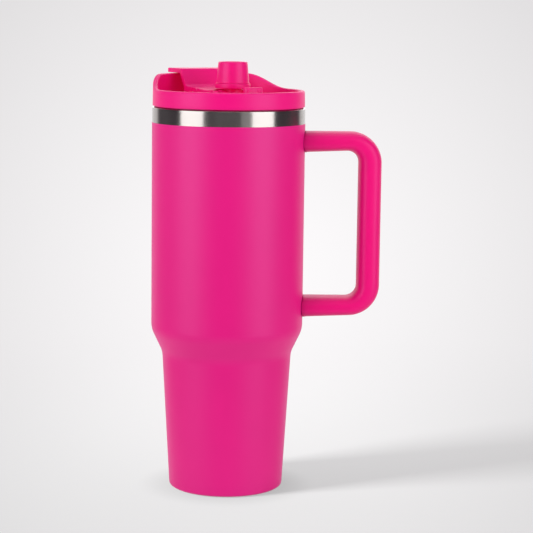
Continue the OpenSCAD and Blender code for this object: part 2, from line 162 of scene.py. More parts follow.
def new_object(name, vertices, faces):
    mesh = bpy.data.meshes.new(name)
    mesh.from_pydata([tuple(v) for v in vertices], [], faces)
    obj = bpy.data.objects.new(name, mesh)
    bpy.context.scene.collection.objects.link(obj)
    tidy(obj)
    return obj


def tidy(obj):
    """Merges doubled points and turns every face outwards."""
    work = bmesh.new()
    work.from_mesh(obj.data)
    bmesh.ops.remove_doubles(work, verts=work.verts, dist=1e-6)
    bmesh.ops.recalc_face_normals(work, faces=work.faces)
    work.to_mesh(obj.data)
    work.free()


def smooth(obj, angle=35):
    """Smooth shading, with edges sharper than the angle left sharp."""
    obj.data.shade_smooth()
    obj.data.set_sharp_from_angle(angle=math.radians(angle))
    return obj


def revolve(name, outline, segments=192, closed=True):
    """Turns an outline of (radius, height) points round Z.

    An open outline starts and ends on the axis.
    """
    count = len(outline)
    vertices = []
    for s in range(segments):
        angle = 2 * math.pi * s / segments
        vertices += [(r * math.cos(angle), r * math.sin(angle), z) for r, z in outline]
    faces = []
    for s in range(segments):
        a, b = s * count, (s + 1) % segments * count
        for i in range(count if closed else count - 1):
            j = (i + 1) % count
            faces.append((a + i, b + i, b + j, a + j))
    return smooth(new_object(name, vertices, faces))


def skin(name, rings):
    """Closed skin over rings that have the same number of points."""
    count = len(rings[0])
    vertices = [p for ring in rings for p in ring]
    faces = []
    for r in range(len(rings) - 1):
        a, b = r * count, (r + 1) * count
        faces += [(a + i, a + (i + 1) % count, b + (i + 1) % count, b + i) for i in range(count)]
    last = (len(rings) - 1) * count
    faces.append(tuple(range(count)))
    faces.append(tuple(last + i for i in reversed(range(count))))
    return new_object(name, vertices, faces)


def along_x(name, outline, width, centre=0.0):
    """Pushes a closed (y, z) outline out along X."""
    ends = (centre - width / 2, centre + width / 2)
    return skin(name, [[(x, y, z) for y, z in outline] for x in ends])


def rod(name, radius, length, centre, axis="X", steps=96):
    """Cylinder with fine sides, used as a solid or as a cutter."""
    ring = arc((0, 0), radius, 0, 360 * (steps - 1) / steps, steps - 1)
    rings = []
    for h in (-length / 2, length / 2):
        if axis == "X":
            rings.append([(h, a, b) for a, b in ring])
        else:
            rings.append([(a, b, h) for a, b in ring])
    obj = skin(name, rings)
    obj.data.transform(Matrix.Translation(centre))
    return obj


def block(name, lowest, highest):
    """Box between two corners given in millimetres."""
    x0, y0, z0 = (c * MM for c in lowest)
    x1, y1, z1 = (c * MM for c in highest)
    return skin(name, [[(x, y0, z0), (x, y1, z0), (x, y1, z1), (x, y0, z1)] for x in (x0, x1)])


def keep_result(obj):
    """Replaces an object's mesh by what its modifiers make of it."""
    bpy.context.view_layer.update()
    evaluated = obj.evaluated_get(bpy.context.evaluated_depsgraph_get())
    result = bpy.data.meshes.new_from_object(evaluated)
    obj.modifiers.clear()
    obj.data = result
    return obj


def combine(obj, others, operation="DIFFERENCE"):
    """Cuts the other solids from obj, or adds them to it, and removes them."""
    for other in others:
        change = obj.modifiers.new("combine", "BOOLEAN")
        change.operation = operation
        change.solver = "EXACT"
        change.object = other
        keep_result(obj)
        bpy.data.objects.remove(other)
    return obj


def bevelled(obj, width):
    """Rounds every sharp edge."""
    edge = obj.modifiers.new("edge", "BEVEL")
    edge.width = width
    edge.segments = 3
    edge.limit_method = "ANGLE"
    edge.angle_limit = math.radians(40)
    return keep_result(obj)


def moulded(obj, voxel, passes):
    """Merges what overlaps and softens every edge, as a mould does."""
    fuse = obj.modifiers.new("fuse", "REMESH")
    fuse.mode = "VOXEL"
    fuse.voxel_size = voxel
    fuse.use_smooth_shade = True
    soften = obj.modifiers.new("soften", "SMOOTH")
    soften.factor = 0.5
    soften.iterations = passes
    keep_result(obj)
    obj.data.shade_smooth()
    return obj


def mirrored(make):
    """Both copies of a piece that stands on either side of the lid's middle."""
    pair = [make("left"), make("right")]
    pair[0].data.transform(Matrix.Scale(-1, 4, (1, 0, 0)))
    pair[0].data.flip_normals()
    return pair


def on_lid(obj):
    """Turns a piece from the lid's own directions onto the cup."""
    obj.data.transform(Matrix.Rotation(LID_TURN, 4, "Z"))
    return obj


def dress(obj, body, slot, *nodes):
    """Gives a piece its body, its material and the CAD nodes that it stands for."""
    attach(obj, body)
    if nodes:
        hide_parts(*nodes)
    obj.data.materials.clear()
    obj.data.materials.append(MATERIALS[slot])
    return obj


# ---------------------------------------------------------------- materials

def shader(name, colour, roughness, **sockets):
    """Material with its own sockets set; a socket's spaces are written as underscores."""
    material = bpy.data.materials.new(name)
    material.use_nodes = True
    tree = material.node_tree
    principled = tree.nodes["Principled BSDF"]
    principled.inputs["Base Color"].default_value = (*colour, 1)
    principled.inputs["Roughness"].default_value = roughness
    for socket, value in sockets.items():
        principled.inputs[socket.replace("_", " ")].default_value = value
    return material, tree, principled


def node(tree, kind, **values):
    made = tree.nodes.new(kind)
    for key, value in values.items():
        if key in made.inputs:
            made.inputs[key].default_value = value
        else:
            setattr(made, key, value)
    return made


def ramp(tree, value, start, end, lowest, highest, smooth=True):
    """Runs from lowest to highest while the value goes from start to end."""
    kind = "SMOOTHSTEP" if smooth else "LINEAR"
    made = node(tree, "ShaderNodeMapRange", interpolation_type=kind)
    made.inputs["From Min"].default_value = start
    made.inputs["From Max"].default_value = end
    made.inputs["To Min"].default_value = lowest
    made.inputs["To Max"].default_value = highest
    tree.links.new(value, made.inputs["Value"])
    return made.outputs["Result"]


def maths(tree, operation, first, second):
    """Joins two values; the second may be a plain number."""
    made = node(tree, "ShaderNodeMath", operation=operation)
    tree.links.new(first, made.inputs[0])
    if isinstance(second, (int, float)):
        made.inputs[1].default_value = second
    else:
        tree.links.new(second, made.inputs[1])
    return made.outputs["Value"]


def vector_maths(tree, operation, vector, other=(0, 0, 0), output="Vector"):
    made = node(tree, "ShaderNodeVectorMath", operation=operation)
    tree.links.new(vector, made.inputs[0])
    made.inputs[1].default_value = other
    return made.outputs[output]


def mixed(tree, factor, first, second):
    """Goes from the first colour to the second; either may be an output."""
    made = node(tree, "ShaderNodeMix", data_type="RGBA")
    tree.links.new(factor, made.inputs["Factor"])
    for socket, colour in (("A", first), ("B", second)):
        if isinstance(colour, tuple):
            made.inputs[socket].default_value = (*colour, 1)
        else:
            tree.links.new(colour, made.inputs[socket])
    return made.outputs["Result"]


def grain(tree, scale, detail=2.0, stretch=(1, 1, 1), roughness=0.5):
    """Noise fixed to the object, scale in features per metre."""
    where = node(tree, "ShaderNodeTexCoord")
    spread = node(tree, "ShaderNodeMapping")
    spread.inputs["Scale"].default_value = stretch
    noise = node(tree, "ShaderNodeTexNoise", Scale=scale, Detail=detail, Roughness=roughness)
    tree.links.new(where.outputs["Object"], spread.inputs["Vector"])
    tree.links.new(spread.outputs["Vector"], noise.inputs["Vector"])
    return noise.outputs["Fac"]


def bump(tree, principled, height, distance, strength):
    made = node(tree, "ShaderNodeBump", Strength=strength, Distance=distance)
    tree.links.new(height, made.inputs["Height"])
    tree.links.new(made.outputs["Normal"], principled.inputs["Normal"])


def wander(tree, principled, noise, lowest, highest):
    """Lets the roughness follow a noise between two values."""
    value = ramp(tree, noise, 0.3, 0.7, lowest, highest, smooth=False)
    tree.links.new(value, principled.inputs["Roughness"])


def shade(colour, factor):
    return tuple(min(1.0, c * factor) for c in colour)


def coated(name, colour, roughness, grain_size, depth, variation=0.03, **sockets):
    """Plain finish with a fine texture: powder coat, moulded plastic, rubber or glass."""
    material, tree, principled = shader(name, colour, roughness, **sockets)
    shades = shade(colour, 1 - variation), shade(colour, 1 + variation)
    broad = mixed(tree, grain(tree, 35, detail=3), *shades)
    tree.links.new(broad, principled.inputs["Base Color"])
    fine = grain(tree, 1 / grain_size, detail=2)
    wander(tree, principled, fine, roughness - 0.05, roughness + 0.05)
    bump(tree, principled, fine, depth, 0.6)
    return material


def brushed(name, colour, roughness, anisotropy, stretch, lines=3000):
    """Bare metal with fine lines; stretch is short along the lines."""
    material, tree, principled = shader(
        name, colour, roughness, Metallic=1.0, Anisotropic=anisotropy, Anisotropic_Rotation=0.25)
    streaks = grain(tree, lines, detail=3, stretch=stretch, roughness=0.6)
    wander(tree, principled, streaks, roughness - 0.01, roughness + 0.02)
    bump(tree, principled, streaks, 0.00001, 0.05)
    tangent = node(tree, "ShaderNodeTangent", direction_type="RADIAL", axis="Z")
    tree.links.new(tangent.outputs["Tangent"], principled.inputs["Tangent"])
    return material


PINK_COAT = (0.82, 0.003, 0.212)
PINK_LID = (0.83, 0.002, 0.195)
PINK_HANDLE = (0.845, 0.002, 0.178)

SHINE = {"Specular_Tint": (0.58, 0.58, 1, 1)}
SHEEN = {"Sheen_Weight": 0.06, "Sheen_Roughness": 0.4, "Sheen_Tint": (0.5, 0.2, 1, 1)}
# Painted light: a faint pink emission on the lid's plastics stands in for light bounced round
# inside the lid's recesses.
PAINTED_BOUNCE_GLOW = {"Emission_Color": (1, 0.005, 0.16, 1), "Emission_Strength": 0.08}

MATERIALS = {
    "powder_coat": coated("powder_coat", PINK_COAT, 0.46, 0.0006, 0.00003,
                          Specular_IOR_Level=0.6, **SHINE, **SHEEN),
    "lid_plastic": coated("lid_plastic", PINK_LID, 0.42, 0.0004, 0.000012, 0.015,
                          Specular_IOR_Level=0.44, **SHINE, **PAINTED_BOUNCE_GLOW),
    "spout_plastic": coated("spout_plastic", PINK_LID, 0.4, 0.0004, 0.00001, 0.015,
                            Specular_IOR_Level=0.44, **SHINE, **PAINTED_BOUNCE_GLOW),
    "handle_plastic": coated("handle_plastic", PINK_HANDLE, 0.44, 0.0005, 0.000015, 0.02,
                             Specular_IOR_Level=0.38, **SHINE),
    "bare_steel": brushed("bare_steel", (0.38, 0.357, 0.343), 0.25, 0.95, (0.03, 0.03, 1)),
    "screw_steel": brushed("screw_steel", (0.5, 0.5, 0.5), 0.3, 0.0, (1, 1, 0.2)),
    "getter_metal": brushed("getter_metal", (0.18, 0.18, 0.2), 0.6, 0.0, (1, 1, 1)),
    "foil": brushed("foil", (0.75, 0.4, 0.26), 0.25, 0.0, (1, 1, 1), lines=400),
    "sealing_glass": coated("sealing_glass", (0.03, 0.045, 0.04), 0.12, 0.002, 0.00001),
    "pad_rubber": coated("pad_rubber", (0.09, 0.09, 0.1), 0.62, 0.0005, 0.00003),
    "silicone": coated("silicone", (0.8, 0.74, 0.76), 0.45, 0.0006, 0.00001,
                       Subsurface_Weight=0.3),
    "straw_plastic": coated("straw_plastic", (0.8, 0.1, 0.3), 0.25, 0.001, 0.000005,
                            Transmission_Weight=0.35),
}


# ---------------------------------------------------------------- cup

FOOT_R = 37.5
FOOT_Z = 0.4
RECESS_R = 33.2
STEP_R = 42.6
STEP_Z = 90.6
SHOULDER_Z = 106
SHOULDER_ROUND = 16
STEEL = 0.6
MOUTH_R = 46
RIM_DEPTH = 2


def outer_shell():
    """Powder-coated wall: straight body, shoulder, taper and rounded foot."""
    top = COAT_Z / MM
    r = BODY_R / MM
    outside = [
        (RECESS_R, FOOT_Z), (FOOT_R, FOOT_Z, 1.9), (STEP_R, STEP_Z, SHOULDER_ROUND),
        (r, SHOULDER_Z, SHOULDER_ROUND), (r, top, 0.12), (r - STEEL, top),
    ]
    inside = [
        (r - STEEL, SHOULDER_Z + 0.1, SHOULDER_ROUND),
        (STEP_R - STEEL, STEP_Z + 0.1, SHOULDER_ROUND),
        (FOOT_R - STEEL, FOOT_Z + STEEL, 1.3), (RECESS_R, FOOT_Z + STEEL),
    ]
    points = rounded(outside, steps=12) + rounded([outside[-1]] + inside, steps=12)[1:]
    wall = revolve("coated_wall", refined(points, 4 * MM, closed=True))
    dress(wall, "cup", "powder_coat", "outer_shell").visible_diffuse = False


def rim_band():
    """Bare neck with the rolled rim."""
    top = RIM_Z / MM
    base = COAT_Z / MM
    r = BODY_R / MM - 0.1
    outline = [
        (r, base), (r, top - 0.65, 0.25), (r - 1.3, top, 0.5), (MOUTH_R, top, 0.9),
        (MOUTH_R, top - RIM_DEPTH), (r - STEEL, top - RIM_DEPTH), (r - STEEL, base),
    ]
    points = refined(rounded(outline, closed=True, steps=6), 2 * MM, closed=True)
    dress(revolve("steel_neck", points, 256), "cup", "bare_steel", "rim_band")


def inner_liner():
    """Steel wall that holds the drink, one vacuum gap inside the outer wall."""
    top = RIM_Z / MM - RIM_DEPTH
    z = LINER_Z / MM
    r = MOUTH_R + STEEL
    outside = [
        (0, z), (34.6, z, 8), (39.3, 91.4, SHOULDER_ROUND), (r, 106.8, SHOULDER_ROUND),
        (r, top), (MOUTH_R, top),
    ]
    inside = [
        (MOUTH_R, 106.9, SHOULDER_ROUND), (38.7, 91.5, SHOULDER_ROUND), (34, z + STEEL, 7.4),
        (0, z + STEEL),
    ]
    points = rounded(outside, steps=10) + rounded([outside[-1]] + inside, steps=10)[1:]
    wall = revolve("steel_liner", refined(points, 5 * MM), closed=False)
    dress(wall, "cup", "bare_steel", "inner_liner")


def base_pad():
    """Anti-slip pad with shallow rings in its underside."""
    r, thickness, groove = 32.3, 2.6, 0.5
    outline = [(0, thickness), (r, thickness), (r, 0, 0.6)]
    for ring in (29, 25, 21, 17, 13, 9):
        outline += [(ring, 0), (ring - 0.3, groove), (ring - 1.1, groove), (ring - 1.4, 0)]
    points = rounded(outline + [(0, 0)], steps=4)
    dress(revolve("ringed_pad", points, 128, closed=False), "cup", "pad_rubber", "base_pad")


# ---------------------------------------------------------------- handle

GRIP_T = 15.1
ARM_T = 12.5
ARM_FLARE = 1.4
GRIP_ROUND = 20.5
GRIP_INNER_ROUND = 7.5
ARM_BOTTOM = 115.5
SECTION_POWER = 2.7
SECTION_POINTS = 64
ROOT_X = 44
ARM_STEPS = 13
BEND_STEPS = 20
GRIP_STEPS = 24
SCREW_X = 61
WELL_R = 3.1
WELL_DEPTH = 3.1
WELL_LENGTH = 7
OFF_WALL = 1.5
SEAT_ROUNDING = ((0.955, 0.08 * MM), (0.985, 0.3 * MM), (1.0, 1.0 * MM))


def handle_edges():
    """Matching outer and inner edge points, from the upper arm's root to the lower arm's, in mm."""
    outer_x, top = GRIP_X / MM, ARM_TOP / MM
    inner_x = outer_x - GRIP_T
    corners = [
        (top, top - ARM_T, 90, -1),
        (ARM_BOTTOM, ARM_BOTTOM + ARM_T, 0, 1),
    ]
    arms = []
    bends = []
    for outer_z, inner_z, start, side in corners:
        centre = (outer_x - GRIP_ROUND, outer_z + side * GRIP_ROUND)
        inner = (inner_x - GRIP_INNER_ROUND, inner_z + side * GRIP_INNER_ROUND)
        outer_arc = arc(centre, GRIP_ROUND, start, start - 90, BEND_STEPS)
        inner_arc = arc(inner, GRIP_INNER_ROUND, start, start - 90, BEND_STEPS)
        bends.append(list(zip(outer_arc, inner_arc)))
        arm = []
        for i in range(ARM_STEPS):
            t = i / ARM_STEPS
            flare = ARM_FLARE * (1 - t)
            upper = side < 0
            outer_shift = 0 if upper else -flare
            inner_shift = -flare if upper else 0
            arm.append((
                (ROOT_X + (centre[0] - ROOT_X) * t, outer_z + outer_shift),
                (ROOT_X + (inner[0] - ROOT_X) * t, inner_z + inner_shift),
            ))
        arms.append(arm)
    high_end, low_end = bends[0][-1], bends[1][0]
    grip = []
    for i in range(1, GRIP_STEPS):
        t = i / GRIP_STEPS
        grip.append(tuple(
            tuple(a + (b - a) * t for a, b in zip(p, q)) for p, q in zip(high_end, low_end)))
    return arms[0] + bends[0] + grip + bends[1] + arms[1][::-1]


def handle_section(outer, inner, squeeze=1.0):
    """Rounded section between an outer and an inner edge point."""
    ring = []
    for i in range(SECTION_POINTS):
        angle = 2 * math.pi * i / SECTION_POINTS
        c, s = math.cos(angle), math.sin(angle)
        u = math.copysign(abs(c) ** (2 / SECTION_POWER), c) * squeeze
        v = math.copysign(abs(s) ** (2 / SECTION_POWER), s) * squeeze
        x = (outer[0] + inner[0]) / 2 + (outer[0] - inner[0]) / 2 * u
        z = (outer[1] + inner[1]) / 2 + (outer[1] - inner[1]) / 2 * u
        ring.append(Vector((x * MM, GRIP_HALF * v, z * MM)))
    return ring


def seated(ring, gap):
    """A section laid against the cup's wall, a small gap away from it."""
    reach = BODY_R + gap
    return [Vector((math.sqrt(reach ** 2 - p.y ** 2), p.y, p.z)) for p in ring]


def screw_wells():
    """Heights of the middle of the two screw wells under the arms."""
    upper = ARM_TOP / MM - ARM_T - ARM_FLARE / 2
    lower = ARM_BOTTOM - ARM_FLARE / 2
    return [(z + WELL_DEPTH - WELL_LENGTH / 2) * MM for z in (upper, lower)]


def handle():
    """D-shaped handle whose arms end in rounded seats against the wall."""
    edges = handle_edges()
    clear = [pair for pair in edges if min(pair[0][0], pair[1][0]) > BODY_R / MM + OFF_WALL]
    rings = [handle_section(*pair) for pair in clear]
    first_end, last_end = (
        [seated(handle_section(*edges[end], squeeze), gap) for squeeze, gap in SEAT_ROUNDING]
        for end in (0, -1))
    grip = skin("carry_handle", first_end + rings + last_end[::-1])
    wells = [
        rod("well", WELL_R * MM, WELL_LENGTH * MM, (SCREW_X * MM, 0, z), "Z", 48)
        for z in screw_wells()
    ]
    combine(grip, wells)
    return dress(smooth(grip, 50), "cup", "handle_plastic", "handle")


# ---------------------------------------------------------------- lid ring

GUARD_FROM = 2
GUARD_TO = 36
GUARD_BIAS = 1.526
LOW_Z = 262.7
SHADOW_GAP = (1.8, 0.45)
LID_WALL = 3.3
SEAT_R = 42.4
LEDGE_Z = 254.4
RING_SEGMENTS = 360


def ring_top(y):
    """Height of the ring's edge at a place along the lid's Y, in mm."""
    t = min(max((y - GUARD_FROM) / (GUARD_TO - GUARD_FROM), 0), 1)
    rise = GUARD_Z / MM - LOW_Z
    return LOW_Z + rise * (1 - math.cos(math.pi * t ** GUARD_BIAS)) / 2


def lid_ring():
    """Ring whose rounded edge climbs to the guard."""
    r = LID_R / MM
    seat = SEAT_Z / MM
    inner = r - LID_WALL
    gap_in, gap_up = SHADOW_GAP
    foot = [
        (SEAT_R, seat), (r - gap_in, seat), (r - gap_in, seat + gap_up), (r, seat + gap_up, 0.3),
        (r, seat + 4),
    ]
    ledge = [(inner, 258), (inner, LEDGE_Z, 0.8), (SEAT_R, LEDGE_Z, 0.6), (SEAT_R, seat + 1)]
    below = [(a / MM, b / MM) for a, b in rounded(foot, steps=4)]
    after = [(a / MM, b / MM) for a, b in rounded(ledge, steps=4)]
    lean, outer_round, inner_round = 0.15, 1.4, 1.1
    crown = arc((r - outer_round - lean, -outer_round), outer_round, 0, 90, 8)
    crown += arc((inner + inner_round, -inner_round), inner_round, 90, 180, 8)
    rings = []
    for s in range(RING_SEGMENTS):
        angle = 2 * math.pi * s / RING_SEGMENTS
        c, d = math.cos(angle), math.sin(angle)
        points = [(q * c, q * d, z) for q, z in below]
        points += [(q * c, q * d, ring_top(q * d) + z) for q, z in crown]
        points += [(q * c, q * d, z) for q, z in after]
        rings.append([tuple(v * MM for v in p) for p in points])
    count = len(rings[0])
    vertices = [p for ring in rings for p in ring]
    faces = []
    for s in range(RING_SEGMENTS):
        a, b = s * count, (s + 1) % RING_SEGMENTS * count
        faces += [(a + i, b + i, b + (i + 1) % count, a + (i + 1) % count) for i in range(count)]
    ring = smooth(new_object("guard_ring", vertices, faces), 40)
    dress(on_lid(ring), "lid", "lid_plastic", "lid_ring")


# ---------------------------------------------------------------- lid furniture

FLAP_HALF = 18.5
EAR_T = 2.4
DECK_FRONT = -1
DECK_REAR = 25.3
WEB_RUN = 7.3
DECK_T = 2.3
DECK_RISE = 1.5
DECK_RUN = 27
WEB_T = 1.8
THUMB_END = 54
THUMB_T = 3
THUMB_BOW = 0.35
THUMB_CORNER = 1.8
KNUCKLE_R = 3.9
KNUCKLE_ROOM = 4.65
NOTCH_R = 12
CHEEK = (11.9, 15.4)
CHEEK_R = 6.2
CHEEK_T = 3.5
CHEEK_X = 13.65
BOSS_R = 3.4
BOSS_T = 2.2
BOSS_X = 11.3
BLOCK_BEFORE_PIN = 4.2
BLOCK_ROUND = 3
PLAN_REAR = 40
ABOVE_LID = 0.28
EAR_REACH = 6.8
VOXEL = 0.28 * MM
CATCH_VOXEL = 0.25 * MM
SOFTENING = 4
FLAP_STATIONS = 29
PLUG_BOSS_R = 5.6
PLUG_BOSS_H = 2.6
PLUG_BOSS_Z = 260.9
SKIRT_T = 1.8
SKIRT_Z = 256
EAR_ROOM = 6.4
CATCH_REAR = -32
CATCH_LEAN = 1.7
CATCH_T = 2.4
CATCH_W = 13.2
RIB_X = 3.55
RIB_W = 1.8
RIB_T = 1.0
RIB_SUNK = 0.2
PORT_Y = 23


def deck_z(y):
    """Height of the gently rising deck, in mm."""
    return LOW_Z + (y - DECK_FRONT) * DECK_RISE / DECK_RUN


def hinge_block():
    """Fixed block round the spout, with ears for the flap and cheeks for the spout."""
    base = FLOOR_Z / MM
    y0, z0 = SPOUT_AXIS.y / MM, SPOUT_AXIS.z / MM
    y1, z1 = FLAP_AXIS.y / MM, FLAP_AXIS.z / MM
    rear = y1 - BLOCK_BEFORE_PIN
    side = rounded([
        (DECK_FRONT, base), (DECK_FRONT, deck_z(DECK_FRONT), 0.8), (y1, deck_z(y1)), (y1, z1),
        (rear, z1), (rear, base),
    ], closed=True)
    main = along_x("hinge_block_form", side, 2 * FLAP_HALF * MM)
    plan = rounded([
        (-FLAP_HALF, DECK_FRONT, BLOCK_ROUND), (FLAP_HALF, DECK_FRONT, BLOCK_ROUND),
        (FLAP_HALF, PLAN_REAR), (-FLAP_HALF, PLAN_REAR),
    ], closed=True)
    keep = skin("plan", [[(x, y, z) for x, y in plan] for z in (base * MM, ABOVE_LID)])
    combine(main, [keep], "INTERSECT")
    combine(main, [
        rod("notch", NOTCH_R * MM, 40 * MM, (0, y0 * MM, base * MM), "Z"),
        rod("room", KNUCKLE_ROOM * MM, 3 * FLAP_HALF * MM, (0, y1 * MM, z1 * MM)),
    ])

    def ear(side):
        lowest, highest = (FLAP_HALF - EAR_T, rear - 1, base), (FLAP_HALF, rear + EAR_REACH, z1)
        post = block("ear" + side, lowest, highest)
        centre = ((FLAP_HALF - EAR_T / 2) * MM, y1 * MM, z1 * MM)
        return combine(post, [rod("knob", KNUCKLE_R * MM, EAR_T * MM, centre)], "UNION")

    def cheek(side):
        x0, x1 = CHEEK
        wall = block("cheek" + side, (x0, y0 - CHEEK_R, base), (x1, y0 + CHEEK_R, z0))
        knob = rod("knob", CHEEK_R * MM, CHEEK_T * MM, (CHEEK_X * MM, y0 * MM, z0 * MM))
        boss = rod("boss", BOSS_R * MM, BOSS_T * MM, (BOSS_X * MM, y0 * MM, z0 * MM))
        return combine(wall, [knob, boss], "UNION")

    combine(main, mirrored(ear) + mirrored(cheek), "UNION")
    moulded(main, VOXEL, SOFTENING)
    dress(on_lid(main), "lid", "lid_plastic", "hinge_block")


def spout_catch():
    """Tab that leans over the tip of the folded spout, with two ribs on its front."""
    base, bend, top = FLOOR_Z / MM, SPOUT_AXIS.z / MM, high("spout_catch").z / MM
    lean = CATCH_LEAN / (top - bend)

    def layer(name, depth, thick, height, width, x=0.0):
        foot = CATCH_REAR - depth
        head = foot + (height - bend) * lean
        side = [
            (foot, base), (foot, bend), (head, height),
            (head - thick, height), (foot - thick, bend), (foot - thick, base),
        ]
        return along_x(name, rounded(side), width * MM, x * MM)

    tab = layer("catch_tab", 0, CATCH_T, top, CATCH_W)
    ribs = [
        layer("rib", CATCH_T - RIB_SUNK, RIB_T, top - 1, RIB_W, x) for x in (-RIB_X, RIB_X)]
    combine(tab, ribs, "UNION")
    moulded(tab, CATCH_VOXEL, SOFTENING)
    dress(on_lid(tab), "lid", "lid_plastic", "spout_catch")


def round_thumb(sheet, start, end):
    """Rounds the thumb tab's corners in plan and bows its rear edge."""
    half = FLAP_HALF * MM
    corner = THUMB_CORNER * MM
    for v in sheet.data.vertices:
        if v.co.y <= start:
            continue
        over = max(0.0, abs(v.co.x) - (half - corner))
        cut = corner - math.sqrt(max(0.0, corner ** 2 - over ** 2))
        limit = end - cut - v.co.x ** 2 / (2 * THUMB_BOW)
        v.co.y = start + (v.co.y - start) * (limit - start) / (end - start)


def sip_flap():
    """Z-shaped flap: deck, sloping web and thumb tab, on its knuckle."""
    y1, z1 = FLAP_AXIS.y / MM, FLAP_AXIS.z / MM
    top = THUMB_Z / MM
    web_y = DECK_REAR + WEB_RUN
    outline = refined(rounded([
        (y1, deck_z(y1)), (DECK_REAR, deck_z(DECK_REAR), 3), (web_y, top, 1.2),
        (THUMB_END, top, 0.9), (THUMB_END, top - THUMB_T, 0.9), (web_y + WEB_T, top - THUMB_T, 1.2),
        (DECK_REAR + WEB_T, deck_z(DECK_REAR) - DECK_T, 1.6), (y1, deck_z(y1) - DECK_T),
    ], closed=True, steps=6), 1.5 * MM, closed=True)
    half = FLAP_HALF * MM
    xs = [half * (2 * i / (FLAP_STATIONS - 1) - 1) for i in range(FLAP_STATIONS)]
    sheet = skin("sip_flap_form", [[(x, y, z) for y, z in outline] for x in xs])
    round_thumb(sheet, web_y * MM, THUMB_END * MM)
    knuckle_length = 2 * (FLAP_HALF - EAR_T) - 0.6
    combine(sheet, [
        rod("knuckle", KNUCKLE_R * MM, knuckle_length * MM, (0, y1 * MM, z1 * MM)),
        rod("plug_boss", PLUG_BOSS_R * MM, PLUG_BOSS_H * MM,
            (0, PORT_Y * MM, PLUG_BOSS_Z * MM), "Z"),
    ], "UNION")

    def skirt(side):
        lowest = (FLAP_HALF - SKIRT_T, y1 + 3, SKIRT_Z)
        highest = (FLAP_HALF, DECK_REAR + 3, deck_z(DECK_REAR) - 2)
        return block("skirt" + side, lowest, highest)

    def room(side):
        centre = ((FLAP_HALF + 0.5) * MM, y1 * MM, z1 * MM)
        return rod("room" + side, (KNUCKLE_R + 0.3) * MM, EAR_ROOM * MM, centre)

    combine(sheet, mirrored(skirt), "UNION")
    combine(sheet, mirrored(room))
    moulded(sheet, VOXEL, SOFTENING)
    dress(on_lid(sheet), "sip_flap", "lid_plastic", "sip_flap")


COLLAR_BOTTOM = 263.8
COLLAR_TOP = 267.3
COLLAR_R = 11.4
NECK_R = 5.6
COLLAR_SHELF_R = 10.7
BORE_R = 3.4
BORE_CUT = 30
TIP_R = 9.4
TIP_BORE_R = 5.8
DRUM_R = 6.6
DRUM_W = 19.8


def spout():
    """Tapered mouthpiece on a collar, with the drum that it folds on."""
    y0, z0 = SPOUT_AXIS.y, SPOUT_AXIS.z / MM
    top = SPOUT_TOP / MM
    outline = rounded([
        (BORE_R, z0 + 1), (NECK_R, z0 + 1), (NECK_R, COLLAR_BOTTOM, 0.5),
        (COLLAR_R, COLLAR_BOTTOM, 0.4), (COLLAR_R, COLLAR_TOP, 1.1),
        (COLLAR_SHELF_R, COLLAR_TOP, 0.4), (TIP_R, top, 0.9), (TIP_BORE_R, top, 0.7),
        (TIP_BORE_R, top - 5, 0.4), (BORE_R, top - 5.6, 0.3),
    ], closed=True, steps=6)
    stem = revolve("spout_form", outline, 128)
    stem.data.transform(Matrix.Translation((0, y0, 0)))
    drum = bevelled(rod("drum", DRUM_R * MM, DRUM_W * MM, (0, y0, z0 * MM)), 0.5 * MM)
    combine(stem, [drum], "UNION")
    bore = rod("bore", BORE_R * MM, BORE_CUT * MM, (0, y0, z0 * MM - 2 * MM), "Z", 64)
    combine(stem, [bore])
    dress(on_lid(smooth(stem, 40)), "spout", "spout_plastic", "spout")


# ---------------------------------------------------------------- what stays CAD

def finish_cad_nodes():
    """Every node that is still shown keeps its shape and gets its material and soft edges."""
    slots = {part["node"]: part["material_slot"] for part in frame["record"]["subparts"]}
    for name, obj in frame["nodes"].items():
        obj.data.materials.clear()
        obj.data.materials.append(MATERIALS[slots[name]])
        smooth(obj, 30)


# ---------------------------------------------------------------- studio

VIEW = Vector((0.0222, 0.9895, -0.1426))
CAMERA_PLACE = (0, -1.15, 0.3126)
CAMERA_ROLL = 0.729
FOCAL_LENGTH = 119.1
SENSOR_WIDTH = 36
MIDDLE = (0, 0, 0.16)
FLOOR_HALF = 1.5
FLOOR_GREY = (0.2, 0.2, 0.2)
FLOOR_GLOW = (1, 0.99, 0.997, 1)
FLOOR_FADED = 0.6
FLOOR_COVER = 0.6
# Painted light on the floor: its emission is brighter in a patch behind the cup.
POOL_CENTRE = (0.03, 0.45, 0)
POOL_SQUASH = (1.2, 0.45, 1)
POOL_BRIGHT = 0.53
POOL_DIM = 0.275
# Painted shadow: the floor's emission dims close round the foot, as contact shade.
CONTACT_FROM = 0.034
CONTACT_TO = 0.062
CONTACT_DIM = 0.55
BACKDROP_BRIGHT = (0.993, 0.975, 0.984)
BACKDROP_DIM = (0.765, 0.75, 0.7575)
ROOM_DARK = (0.025, 0.01, 0.025)
ROOM_PALE = (0.95, 0.94, 0.945)
BACKDROP_CURVE = 1.2
BACKDROP_SPREAD = 0.15


def area_light(name, place, aim, width, height, radiance):
    """Softbox of the given radiance, pointing from place to aim."""
    lamp = bpy.data.lights.new(name, "AREA")
    lamp.shape = "RECTANGLE"
    lamp.size = width
    lamp.size_y = height
    lamp.energy = radiance * math.pi * width * height
    obj = bpy.data.objects.new(name, lamp)
    bpy.context.scene.collection.objects.link(obj)
    obj.location = place
    obj.rotation_euler = (Vector(aim) - Vector(place)).to_track_quat("-Z", "Y").to_euler()
    obj.visible_camera = False
    return obj


